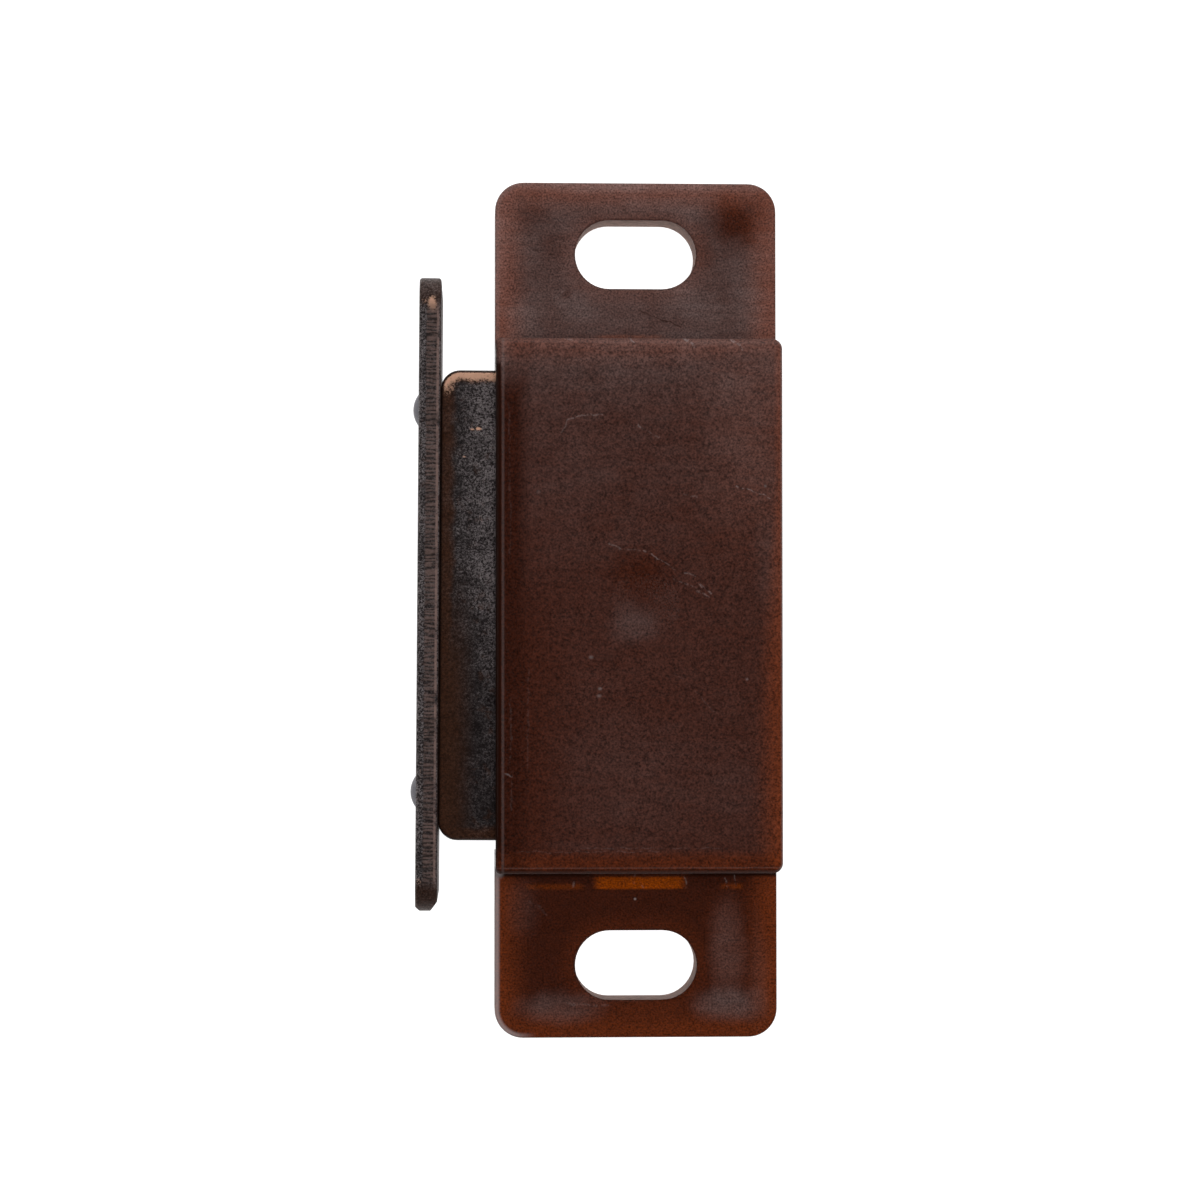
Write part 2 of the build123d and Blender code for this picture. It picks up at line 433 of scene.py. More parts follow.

# %% [markdown]
# The case is moulded in a brown plastic that lets some light through. With steel behind it, it
# looks nearly black-brown, and at its rims and thin webs the light from below turns it orange. A
# volume shader could do that, but slowly and noisily, and an exported model would lose it. Here
# that glow is painted into the colour where the walls are. Over it lies a grey haze, partly dust
# and partly a painted sheen of the lamps.

# %% Colours of the brown moulding
BROWN_DEEP = (0.0350, 0.0080, 0.0038)
# Painted glow, for light that comes through thin walls of the plastic.
BROWN_PAINTED_GLOW = (0.1040, 0.0200, 0.0050)
# Painted amber light, where it comes through the thin webs.
BROWN_PAINTED_AMBER = (0.2000, 0.0360, 0.0008)
# Dark dirt in scratches, and the painted shade along the block's edges and seam.
DIRT_AND_SHADE_BROWN = (0.0150, 0.0036, 0.0016)
# Pale colour of the haze, of the painted sheen and highlights, and of the scratches.
PALE_HAZE_AND_SHEEN = (0.50, 0.435, 0.43)
# Painted light on the slot walls, reflected up from the sheet below.
SLOT_WALL_PAINTED_LIGHT = (0.48, 0.32, 0.27)
PLASTIC_GLOSS = 0.3
print("brown from", BROWN_DEEP, "to", BROWN_PAINTED_AMBER)

# %% [markdown]
# Light leaks into the ears at their rims and round their slots, and that glow is painted into the
# colour. Each is a distance to an outline, put through a soft step. Every pair of numbers below
# runs from where a mask is empty to where it is full, in millimetres on the piece.

# %% Where the ears glow
EAR_CORNER = 1.9
RIM_GLOW = (2.9, 0.2)
RIM_CURVE = 1.3
SLOT_GLOW = (-1.6, 0.0)
EAR_GLOW_SPOTS = [
    ((0.5, -27.0), (7.5, 2.2), 0.45),
    ((6.2, -22.6), (2.4, 5.0), 0.30),
]
LEAST_EAR_GLOW = 0.05


def ear_glow(tree, place, bent):
    """How much painted glow the ears get at each point, for light that comes through them."""
    inside = outline_inside(tree, place, case_low, case_high, EAR_CORNER)
    rim = maths(tree, "POWER", mask(tree, inside, *RIM_GLOW), RIM_CURVE)
    less_at_end = put_range(tree, parts_of(tree, place)["Y"], -28.3, -26.3, 0.75, 1.0)
    rim = product(tree, [rim, less_at_end])
    slot = {"Position": vectors(tree, "ABSOLUTE", place), "Centre": (0, SLOT_Y, 0)}
    slot.update({"Half Size": SLOT_HALF, "Corner": SLOT_HALF[1]})
    round_slot = mask(tree, use(tree, inside_outline, slot, "Inside"), *SLOT_GLOW, 0.30)
    spots = soft_spots(tree, place, EAR_GLOW_SPOTS, bent)
    return maths(tree, "ADD", most_of(tree, [rim, round_slot, *spots]), LEAST_EAR_GLOW)


def beside_slots(tree, place):
    """1 close around the screw slots."""
    x, y = parts_of(tree, vectors(tree, "ABSOLUTE", place))[:2]
    rows = band(tree, y, SLOT_Y, SLOT_HALF[1] + 0.3, 0.2)
    return product(tree, [rows, mask(tree, x, SLOT_HALF[0] + 0.5, SLOT_HALF[0] + 0.3)])


print("ears glow from", RIM_GLOW[0], "mm in")

# %% [markdown]
# On the block the painted glow follows the walls, and each is again a distance put through a soft
# step. It is strongest along the back wall, where it reaches further in from the upper end to the
# lower one.

# %% Where the block glows
BACK_REACH, BACK_WIDENS = 1.15, 1.3
BACK_CURVE = 1.5
LEAST_BLOCK_GLOW = 0.03


def block_glow(tree, place):
    """How much painted glow the block gets at each point, for light that comes through its walls."""
    x, y, z = parts_of(tree, place)
    from_back = maths(tree, "SUBTRACT", block_high.x, x)
    reach = maths(tree, "ADD", mask(tree, y, 9.0, -9.0, BACK_WIDENS), BACK_REACH)
    back = mask(tree, maths(tree, "DIVIDE", from_back, reach), 1.0, 0.0)
    back = maths(tree, "POWER", back, BACK_CURVE)
    upper_right = product(tree, [mask(tree, x, 1.0, 8.0), mask(tree, y, 0.0, 9.0, 0.26)])
    upper_end = mask(tree, y, 14.8, 17.2, 0.65)
    lower_end = mask(tree, y, -15.3, -16.2, 0.34)
    walls = mask(tree, z, block_high.z - 0.5, EAR_THICKNESS, 0.5)
    parts = [back, upper_right, upper_end, lower_end, walls]
    return maths(tree, "ADD", most_of(tree, parts), LEAST_BLOCK_GLOW)


print("block glows from", BACK_REACH, "to", BACK_REACH + BACK_WIDENS, "mm in")

# %% [markdown]
# Beside the block, thin webs close off the coring pockets below, and the light comes through them
# amber. That light is painted: each web is a stripe of amber on the ear's top, cut to length, and a
# noise clouds it.

# %% The amber webs
UPPER_WEB_Y, LOWER_WEB_Y = 18.15, -18.24


def painted_amber_webs(tree, place):
    """Painted amber light, where it comes through the webs over the coring pockets beside the block."""
    x, y, z = parts_of(tree, place)
    upper = product(tree, [band(tree, y, UPPER_WEB_Y, 0.05, 0.2, 0.3), band(tree, x, -0.4, 1.2, 1.6)])
    middle = product(tree, [band(tree, y, LOWER_WEB_Y, 0.30, 0.2), band(tree, x, 0.25, 2.5, 0.8)])
    left, right = band(tree, x, -5.4, 1.5, 0.7, 0.36), band(tree, x, 6.4, 0.5, 0.4, 0.4)
    sides = product(tree, [band(tree, y, LOWER_WEB_Y - 0.24, 0.06, 0.24), most_of(tree, [left, right])])
    clouds = mask(tree, noise(tree, place, 1.1, 3, 0.6), 0.1, 0.5)
    on_top = by_depth(tree, z, EAR_THICKNESS, 1.0, 0.3)
    return product(tree, [most_of(tree, [upper, middle, sides]), clouds, on_top])


print("webs at", UPPER_WEB_Y, "and", LOWER_WEB_Y, "mm")

# %% [markdown]
# The haze is partly dust and partly a painted sheen, where the satin skin would mirror the lamps.
# Part of it lies in patches with no rule behind them, so each patch is a listed spot: its centre,
# its reach and its strength. The last list holds places clear of both.

# %% Patches of haze
EAR_HAZE_AND_SHEEN_PATCHES = [
    ((-3.9, 20.1), (1.9, 1.4), 0.022),
    ((-7.8, 19.6), (1.5, 1.3), 0.034),
    ((3.5, 20.6), (2.4, 1.2), 0.014),
    ((7.6, 20.4), (1.6, 2.6), 0.018),
    # Painted highlight along the rounded far rim of the upper ear.
    ((0.0, 28.35), (12.0, 0.75), 0.105),
    ((-9.2, 24.0), (0.9, 7.0), 0.028),
    ((1.5, 27.0), (6.0, 0.8), 0.022),
    ((6.1, -22.6), (1.7, 4.6), 0.055),
    ((6.3, -26.3), (3.3, 1.6), 0.095),
    ((-5.0, -26.5), (4.0, 1.5), 0.055),
    ((-7.6, -19.9), (1.6, 2.6), 0.022),
    ((8.2, -24.0), (1.0, 5.0), 0.018),
    ((-1.0, -25.8), (4.0, 0.5), 0.025),
]
BLOCK_HAZE_AND_SHEEN_PATCHES = [
    ((6.3, 11.0), (4.2, 8.0), 0.022),
    ((7.9, 4.0), (1.4, 7.0), 0.014),
    ((-4.5, 8.0), (4.0, 6.0), 0.006),
    # Painted highlight along the block's rounded upper rim.
    ((1.0, 16.9), (10.0, 0.8), 0.034),
    # Painted highlight on the lower slope of the dimple over the post.
    ((-0.76, -1.2), (2.2, 1.9), 0.030),
    ((-0.5, -11.0), (8.0, 5.6), 0.010),
    ((6.0, -12.0), (2.2, 3.4), 0.010),
    ((-5.5, -15.4), (3.5, 0.7), 0.012),
]
CLEAR_PATCHES = [
    # Painted shade on the upper slope of the dimple over the post.
    ((-0.25, 2.0), (3.1, 2.3), 1.0),
    ((-2.9, 5.2), (1.9, 1.4), 0.30),
    ((2.4, 5.8), (1.4, 1.1), 0.25),
    ((6.7, 25.9), (2.9, 3.0), 1.0),
    ((-7.0, 26.3), (1.8, 1.4), 0.30),
    ((-5.5, 24.0), (1.4, 1.9), 0.30),
    ((-4.6, 21.0), (0.6, 0.5), 0.45),
    ((4.6, 24.4), (1.6, 2.6), 0.45),
]
print(len(EAR_HAZE_AND_SHEEN_PATCHES), "patches of haze on the ears,", len(BLOCK_HAZE_AND_SHEEN_PATCHES), "on the block")

# %% [markdown]
# Under the patches the haze and sheen are smooth. They cover the upper ear, and on the block they
# fade from the upper end downwards, which paints the sheen of the lamp beyond that end. Beside the
# mouth they are thin, and the edge of that band is sharp along the upper half and soft along the
# lower one. They thin down the walls.

# %% How thick the haze is
MOUTH_TOP_Y = 15.2
UPPER_EAR_HAZE_AND_SHEEN = 0.080
BLOCK_HAZE_AND_SHEEN = 0.016
UPPER_HALF_HAZE_AND_SHEEN, UPPER_END_HAZE_AND_SHEEN = 0.012, 0.036
MOUTH_CORNER_HAZE_AND_SHEEN = 0.035


def summed(tree, values):
    """Several masks added."""
    result = values[0]
    for value in values[1:]:
        result = maths(tree, "ADD", result, value)
    return result


def block_haze_and_sheen(tree, place, bent):
    """How thick the veil of dust and painted sheen is on the block."""
    x, y = parts_of(tree, place)[:2]
    upper_half = mask(tree, y, 0.0, 9.0, UPPER_HALF_HAZE_AND_SHEEN)
    upper_end = mask(tree, y, 11.0, 16.0, UPPER_END_HAZE_AND_SHEEN)
    haze_and_sheen = summed(tree, [upper_half, upper_end, *soft_spots(tree, place, BLOCK_HAZE_AND_SHEEN_PATCHES, bent)])
    haze_and_sheen = maths(tree, "ADD", haze_and_sheen, BLOCK_HAZE_AND_SHEEN)
    sharp, soft = mask(tree, x, -8.3, -6.9), mask(tree, x, -8.6, -3.0)
    off_mouth = either(tree, mask(tree, y, -4.0, 6.0), soft, sharp)
    off_mouth = most_of(tree, [off_mouth, mask(tree, y, 13.0, 15.4, 0.8)])
    off_lower_end = mask(tree, y, -16.3, -15.2)
    off_back = opposite(tree, product(tree, [mask(tree, x, 7.0, 9.0, 0.6), mask(tree, y, 0, -6)]))
    above_mouth = mask(tree, y, MOUTH_TOP_Y - 0.2, MOUTH_TOP_Y + 0.2)
    corner = product(tree, [above_mouth, mask(tree, x, -8.0, -9.0, MOUTH_CORNER_HAZE_AND_SHEEN)])
    return maths(tree, "ADD", product(tree, [haze_and_sheen, off_mouth, off_lower_end, off_back]), corner)


def case_haze_and_sheen(tree, place, on_block, bent):
    """How thick the veil of dust and painted sheen is at each point of the case."""
    y, z = parts_of(tree, place)[1:]
    gentle = product(tree, [bent, 0.5])
    upper_ear = mask(tree, y, 10, 12, UPPER_EAR_HAZE_AND_SHEEN)
    ears = summed(tree, [upper_ear, *soft_spots(tree, place, EAR_HAZE_AND_SHEEN_PATCHES, gentle)])
    haze_and_sheen = either(tree, on_block, ears, block_haze_and_sheen(tree, place, gentle))
    clear = opposite(tree, most_of(tree, soft_spots(tree, place, CLEAR_PATCHES, gentle)))
    down_walls = put_range(tree, z, block_high.z - 2.5, block_high.z - 0.4, 0.35, 1.0)
    on_top = by_depth(tree, z, EAR_THICKNESS, 0.4, 0.1)
    return product(tree, [haze_and_sheen, clear, on_top, either(tree, on_block, 1.0, down_walls)])


print("haze_and_sheen", UPPER_EAR_HAZE_AND_SHEEN, "on the upper ear,", BLOCK_HAZE_AND_SHEEN, "on the block")

# %% [markdown]
# Scratches are pale, because a scratch in a dark plastic shows the light on its torn edges. A few
# on the ears are dark, where dirt has filled them. Each is written as its two ends, its width and
# its strength, and each speck as a spot. The last spot is no speck but a painted glint. A bent
# scratch is a few straight ones in a row.

# %% Scratches and specks
BLOCK_SCRATCHES = [
    ((-5.25, 11.0), (-4.9, 11.7), 0.07, 0.6),
    ((-4.9, 11.75), (-4.0, 12.05), 0.08, 0.8),
    ((-4.0, 12.1), (-2.6, 12.1), 0.07, 0.8),
    ((-0.4, 11.5), (0.3, 11.0), 0.08, 0.8),
    ((0.3, 11.0), (1.0, 10.7), 0.07, 0.5),
    ((-2.2, 4.0), (-1.5, 3.6), 0.08, 0.8),
    ((-1.6, 3.55), (0.0, 3.5), 0.07, 0.4),
    ((0.0, 3.5), (1.0, 2.95), 0.07, 1.0),
    ((1.0, 2.95), (2.0, 2.2), 0.06, 0.6),
    ((2.6, 2.1), (3.3, 1.9), 0.08, 0.8),
    ((2.0, 1.7), (3.6, 0.95), 0.07, 0.6),
    ((3.5, 1.35), (4.3, 0.8), 0.09, 1.1),
    ((3.4, 0.9), (4.2, 0.5), 0.09, 0.9),
    ((2.5, 7.1), (3.3, 6.9), 0.07, 0.6),
    ((5.9, 7.6), (7.0, 7.3), 0.06, 1.2),
    ((7.0, 7.3), (8.0, 6.85), 0.06, 1.2),
    ((2.0, -4.3), (4.6, -6.9), 0.05, 0.3),
    ((-8.9, -10.7), (-8.3, -10.8), 0.10, 1.0),
    ((-7.35, -4.0), (-7.40, -11.0), 0.08, 0.2),
    ((-8.45, -6.0), (-8.40, -13.0), 0.08, 0.25),
    ((-8.60, 13.0), (-8.45, 3.0), 0.08, 0.2),
    ((-4.0, -15.42), (5.0, -15.38), 0.05, 0.4),
    ((-8.0, -15.65), (1.0, -15.62), 0.05, 0.35),
    ((2.45, 17.1), (2.9, 16.8), 0.12, 2.2),
    ((2.9, 16.9), (3.2, 16.5), 0.10, 1.4),
    ((5.6, 17.0), (6.1, 16.6), 0.13, 2.2),
    ((6.0, 16.7), (6.3, 16.3), 0.10, 1.4),
    ((-0.9, 17.0), (-0.6, 16.8), 0.10, 1.6),
    ((-5.0, 17.0), (-4.6, 16.9), 0.10, 1.0),
]
EAR_SCRATCHES = [
    ((-4.6, -26.2), (-1.9, -26.4), 0.11, 0.5),
    ((-7.0, -19.5), (-5.9, -20.3), 0.12, 0.3),
    ((-0.15, -17.7), (-0.10, -18.3), 0.08, 1.2),
    ((0.35, -18.2), (0.45, -18.5), 0.07, 1.0),
    ((3.30, -17.9), (3.40, -18.6), 0.08, 1.2),
    ((-4.2, -18.15), (-4.15, -18.45), 0.08, 1.0),
    ((6.0, -17.9), (6.1, -18.5), 0.08, 1.0),
    ((6.55, -17.8), (6.6, -18.4), 0.08, 1.2),
    ((-5.55, 20.7), (-4.65, 21.3), 0.10, 0.4),
]
DARK_SCRATCHES = [
    ((0.28, 19.92), (1.6, 19.4), 0.06, 0.8),
    ((1.6, 19.4), (2.97, 18.84), 0.07, 1.0),
    ((-5.5, -25.3), (-3.8, -24.3), 0.12, 0.4),
    ((-6.9, 24.1), (-6.5, 23.9), 0.14, 0.6),
]
PALE_SPECKS_AND_GLINT = [
    ((-3.36, -3.3), (0.22, 0.18), 1.0),
    ((-2.79, -5.3), (0.20, 0.16), 1.2),
    ((-2.85, -5.75), (0.24, 0.16), 0.9),
    ((-6.7, 7.2), (0.2, 0.2), 0.4),
    ((6.56, -4.7), (0.14, 0.14), 0.9),
    ((7.75, 7.6), (0.14, 0.14), 0.9),
    ((-0.06, -19.31), (0.13, 0.13), 2.6),
    # A painted glint in the corner between the block and the lower ear.
    ((-9.2, -17.6), (0.55, 0.50), 3.0),
]
print(len(BLOCK_SCRATCHES), "scratches on the block,", len(EAR_SCRATCHES + DARK_SCRATCHES), "on the ears")

# %% [markdown]
# The lists become masks. The lines are drawn in plan, so they are kept to the tops of the ears and
# of the block, or a wall below one would be streaked from top to bottom.

# %% The marks as masks


def marks(tree, place, on_block, bent):
    """Masks of the pale and of the dark marks."""
    wandered = wandering(tree, place)
    on_ears = hairlines(tree, wandered, EAR_SCRATCHES)
    pale = either(tree, on_block, on_ears, hairlines(tree, wandered, BLOCK_SCRATCHES))
    broken = mask(tree, noise(tree, place, 4.0, 3, 0.6), 0.38, 0.60)
    z = parts_of(tree, place)["Z"]
    ear_tops = by_depth(tree, z, EAR_THICKNESS, 0.4, 0.2)
    on_top = either(tree, on_block, ear_tops, by_depth(tree, z, block_high.z, 0.5, 0.3))
    pale = product(tree, [pale, broken, on_top])
    specks_and_glint = soft_spots(tree, place, PALE_SPECKS_AND_GLINT, product(tree, [bent, 0.3]))
    dark = product(tree, [hairlines(tree, wandered, DARK_SCRATCHES), opposite(tree, on_block)])
    return most_of(tree, [pale, *specks_and_glint]), dark


print("marks ready")

# %% [markdown]
# The block's edges need their own lines of painted light and shade. Its front edge is rounded over
# into the dark mouth and painted dark, with a thin painted highlight beside it, and its lower edge
# has such a dark line and highlight too. Where the block meets an ear no light gets in, which
# leaves a painted seam of shade, fainter at the upper end. Last, the ears' outer edge gets a pale
# painted highlight on the front side.

# %% Lines along the block's edges
FRONT_SHADE, LOWER_SHADE = (-9.04, -9.14), (-16.70, -16.84)
FRONT_HIGHLIGHT_X, LOWER_HIGHLIGHT_Y = -8.95, -16.66
UPPER_SEAM_SHADE, LOWER_SEAM_SHADE = (17.9, 17.5), (-17.95, -17.70)
UPPER_EAR_RIM_HIGHLIGHT, LOWER_EAR_RIM_HIGHLIGHT = 0.06, 0.40


def edge_shade_and_highlights(tree, place, on_block):
    """Masks of the painted shade on the edges and seam, and of the painted highlights beside them."""
    x, y, z = parts_of(tree, place)
    along_mouth = mask(tree, maths(tree, "ABSOLUTE", y), MOUTH_TOP_Y + 0.5, MOUTH_TOP_Y)
    front_shade = product(tree, [mask(tree, x, *FRONT_SHADE), along_mouth])
    dark = product(tree, [most_of(tree, [front_shade, mask(tree, y, *LOWER_SHADE, 0.6)]), on_block])
    lower_seam_shade, upper_seam_shade = mask(tree, y, *LOWER_SEAM_SHADE), mask(tree, y, *UPPER_SEAM_SHADE, 0.5)
    seam = either(tree, mask(tree, y, -1, 1), lower_seam_shade, upper_seam_shade)
    off_amber = opposite(tree, band(tree, x, 0.35, 2.8, 0.8, 0.75))
    on_top = by_depth(tree, z, EAR_THICKNESS, 0.7, 0.3)
    seam = product(tree, [seam, opposite(tree, on_block), off_amber, on_top])
    front_highlight = band(tree, x, FRONT_HIGHLIGHT_X, 0.03, 0.10, 0.055)
    lower_highlight = band(tree, y, LOWER_HIGHLIGHT_Y, 0.01, 0.06, 0.045)
    pale = product(tree, [most_of(tree, [front_highlight, lower_highlight]), on_block])
    return most_of(tree, [dark, seam]), pale


def ear_rim_highlight(tree, place, on_block):
    """A pale painted highlight along the ears' outer edge on the front side."""
    x, y, z = parts_of(tree, place)
    inside = outline_inside(tree, place, case_low, case_high, EAR_CORNER)
    on_rim, front = mask(tree, inside, 0.42, 0.18), mask(tree, x, -6.5, -8.5)
    on_top = by_depth(tree, z, EAR_THICKNESS, 0.55, 0.25)
    rim_highlight = either(tree, mask(tree, y, 0, -1), UPPER_EAR_RIM_HIGHLIGHT, LOWER_EAR_RIM_HIGHLIGHT)
    return product(tree, [on_rim, on_top, front, opposite(tree, on_block), rim_highlight])


print("edge lines ready")

# %% [markdown]
# The moulded skin itself is not smooth: the mould was spark eroded, and years of hands have
# rubbed it, which gives a fine leathery grain. It shows twice. As relief it breaks up the light of
# the lamps into small glints, and as a change of shade it makes the brown look deep. That change of
# shade is partly painted glints, finer than the relief can make.

# %% Shades of brown
NOISE_SPAN = (0.3, 0.7)
GRAIN_SPAN = (0.32, 0.68)


def shaded_brown(tree, place, on_block, bent, grain, cloud):
    """The brown under the veil: painted glow and amber, painted shade by the mouth, and its grain."""
    x, y = parts_of(tree, place)[:2]
    glow = either(tree, on_block, ear_glow(tree, place, bent), block_glow(tree, place))
    glow = product(tree, [glow, put_range(tree, cloud, *NOISE_SPAN, 0.88, 1.08)])
    colour = mix(tree, glow, BROWN_DEEP, BROWN_PAINTED_GLOW)
    amber = product(tree, [painted_amber_webs(tree, place), opposite(tree, on_block)])
    colour = mix(tree, amber, colour, BROWN_PAINTED_AMBER)
    colour = scaled(tree, colour, put_range(tree, grain, *GRAIN_SPAN, 0.35, 1.75))
    # Painted shade on the block's top along the mouth, where no light comes through from below.
    shade_beside_mouth = product(tree, [mask(tree, x, -6.9, -8.2, 0.3), mask(tree, y, 15.4, 13.0), on_block])
    return scaled(tree, colour, opposite(tree, shade_beside_mouth))


print("shades of brown ready")

# %% [markdown]
# Now the colour is laid down in layers: the brown with its painted glow, the haze with its painted
# sheen, then dirt and scratches, and the painted shade and highlights along the edges. The walls of
# the screw slots are painted paler, for light that runs up in them from the sheet below. The
# block's end walls are left rough, or they would mirror the window.

# %% The brown moulding
DIRT_SHARE = 0.8
SCRATCH_SHARE = 0.13
SATIN_ROUGHNESS = 0.32
PLASTIC_RELIEF = 0.018


def brown_moulding():
    """Translucent brown plastic with painted glow, a veil of dust and painted sheen, and marks."""
    material, tree, shader, place = new_material("brown_moulding")
    y, z = parts_of(tree, place)[1:]
    on_block = mask(tree, z, EAR_THICKNESS + 0.05, EAR_THICKNESS + 0.5)
    fine = noise(tree, place, 8.0, 1, 0.6)
    leather = noise(tree, place, 2.6, 4, 0.6, distortion=0.6)
    grain = maths(tree, "ADD", product(tree, [fine, 0.75]), product(tree, [leather, 0.25]))
    cloud = noise(tree, place, 0.4, 4, 0.6)
    wipes = noise(tree, place, 2.2, 3, 0.6, stretch=(0.12, 1, 1))
    bent = bend(tree, place)
    colour = shaded_brown(tree, place, on_block, bent, grain, cloud)

    grained = put_range(tree, grain, *GRAIN_SPAN, 0.40, 1.60)
    clouded = put_range(tree, cloud, *NOISE_SPAN, 0.75, 1.25)
    wiped = put_range(tree, wipes, 0.35, 0.65, 0.86, 1.14)
    haze_and_sheen = product(tree, [case_haze_and_sheen(tree, place, on_block, bent), grained, clouded, wiped])
    colour = mix(tree, haze_and_sheen, colour, PALE_HAZE_AND_SHEEN)

    scratched, dirt = marks(tree, place, on_block, bent)
    painted_edge_shade, painted_edge_highlights = edge_shade_and_highlights(tree, place, on_block)
    dark = most_of(tree, [product(tree, [dirt, DIRT_SHARE]), painted_edge_shade])
    colour = mix(tree, dark, colour, DIRT_AND_SHADE_BROWN)
    scratched = product(tree, [scratched, SCRATCH_SHARE])
    pale = most_of(tree, [scratched, painted_edge_highlights, ear_rim_highlight(tree, place, on_block)])
    colour = mix(tree, pale, colour, PALE_HAZE_AND_SHEEN)

    # The slot walls are painted pale, for light that runs up them from the sheet below.
    below_tops = by_depth(tree, z, EAR_THICKNESS, 0.12, 0.22)
    in_slots = product(tree, [below_tops, beside_slots(tree, place)])
    painted_slot_light = scaled(tree, SLOT_WALL_PAINTED_LIGHT, put_range(tree, leather, *NOISE_SPAN, 0.7, 1.3))
    colour = mix(tree, in_slots, colour, painted_slot_light)

    rough_ends = product(tree, [mask(tree, maths(tree, "ABSOLUTE", y), 16.7, 17.0, 0.45), on_block])
    hazy = maths(tree, "MULTIPLY_ADD", haze_and_sheen, 1.2, SATIN_ROUGHNESS)
    roughness = summed(tree, [hazy, product(tree, [in_slots, 0.4]), rough_ends])
    height = maths(tree, "MULTIPLY_ADD", leather, 0.8, fine)
    shader.inputs["Specular IOR Level"].default_value = PLASTIC_GLOSS
    set_surface(tree, shader, colour, roughness, height, PLASTIC_RELIEF)
    return material


dress(nodes["case"], brown_moulding())
print("case dressed")

# %% [markdown]
# Both kinds of plate are steel with an antique bronze finish: a dark bath, rubbed back so that
# copper shows where hands and the tumbling drum reach. The poles and the strike share that finish
# and differ in how they were cut, so the finish is one group, and each plate adds its own marks.
# The crackle is noise folded about its middle value, which leaves thin bright threads between dark
# cells, as a crazed film has.

# %% Group: rubbed bronze
FILM_DARK = (0.0100, 0.0065, 0.0065)
FILM_GREY = (0.290, 0.250, 0.252)
FILM_BROWN = (0.078, 0.028, 0.012)
COPPER = (0.90, 0.52, 0.36)


def rubbed_bronze_group():
    """The bronze film. Bright lights its threads, Brown stains it, and Rubbed brings out copper."""
    sockets = {"Position": "Vector", "Bright": "Float", "Brown": "Float", "Rubbed": "Float"}
    results = {"Color": "Color", "Roughness": "Float", "Height": "Float"}
    tree, given, end = new_group("rubbed_bronze", sockets, results)
    place = given["Position"]
    cells = noise(tree, place, 5.2, 4, 0.74, distortion=0.4)
    threads = mask(tree, away_from(tree, cells, 0.5), 0.075, 0.0)
    fine = noise(tree, place, 8.0, 3, 0.7)
    clouds = put_range(tree, noise(tree, place, 0.8, 3, 0.6), *NOISE_SPAN, 0.35, 1.6)
    crackle = maths(tree, "MULTIPLY_ADD", threads, 0.8, 0.2)
    crackle = product(tree, [crackle, mask(tree, fine, 0.36, 0.66), clouds, given["Bright"]])
    colour = mix(tree, crackle, FILM_DARK, FILM_GREY)
    stained = scaled(tree, FILM_BROWN, put_range(tree, fine, *NOISE_SPAN, 0.25, 1.5))
    stains = mask(tree, noise(tree, place, 1.4, 4, 0.65), 0.54, 0.70, 0.5)
    stains = product(tree, [most_of(tree, [given["Brown"], stains]), 0.8])
    colour = mix(tree, stains, colour, stained)
    ragged = maths(tree, "MULTIPLY_ADD", maths(tree, "SUBTRACT", fine, 0.5), 2.6, given["Rubbed"])
    worn = product(tree, [mask(tree, ragged, 0.2, 0.85), given["Rubbed"]])
    height = maths(tree, "MULTIPLY_ADD", fine, 0.5, product(tree, [threads, 0.5]))
    tree.links.new(mix(tree, worn, colour, COPPER), end.inputs["Color"])
    tree.links.new(put_range(tree, crackle, 0.0, 0.6, 0.52, 0.42), end.inputs["Roughness"])
    tree.links.new(height, end.inputs["Height"])
    return tree


rubbed_bronze = rubbed_bronze_group()
METAL_SHARE = 0.5
BRONZE_RELIEF = 0.02


def bronze_film(tree, place, bright, brown, rubbed):
    """Places the bronze film in a material. Returns its colour, roughness and height."""
    inputs = {"Position": place, "Bright": bright, "Brown": brown, "Rubbed": rubbed}
    film = put(tree, "ShaderNodeGroup", inputs, node_tree=rubbed_bronze).outputs
    return film["Color"], film["Roughness"], film["Height"]


def turned_back(tree, place):
    """A place on the pack or the strike, as if it lay square."""
    inputs = {"Vector": place, "Angle": -PACK_TURN}
    return put(tree, "ShaderNodeVectorRotate", inputs, rotation_type="Z_AXIS").outputs[0]


print("group:", rubbed_bronze.name)

# %% [markdown]
# The poles were punched, which draws their edges over, and the drum rubs such an edge first: the
# upper end and its corner show bright copper, painted brighter as the highlight of the lamp beyond
# that end. A thin rim all round is painted dark, as painted shade on the drawn-over edge. Along the
# front the film is worn to brown, and the crackle is brightest beside the case, where nothing
# touches it. The lower half is duller. A few chips in the upper half have gone down to copper.

# %% The pole plates
POLE_CORNER = 1.25
LOW_HALF_BRIGHT = 0.24
POLE_CHIPS = [
    ((-10.5, 11.35), (0.34, 0.18), 1.0),
    ((-10.9, 11.3), (0.26, 0.11), 0.8),
    ((-11.42, 9.55), (0.24, 0.10), 0.7),
    ((-10.35, 5.6), (0.22, 0.4), 0.35),
    ((-12.35, 14.05), (0.8, 0.9), 0.6),
]


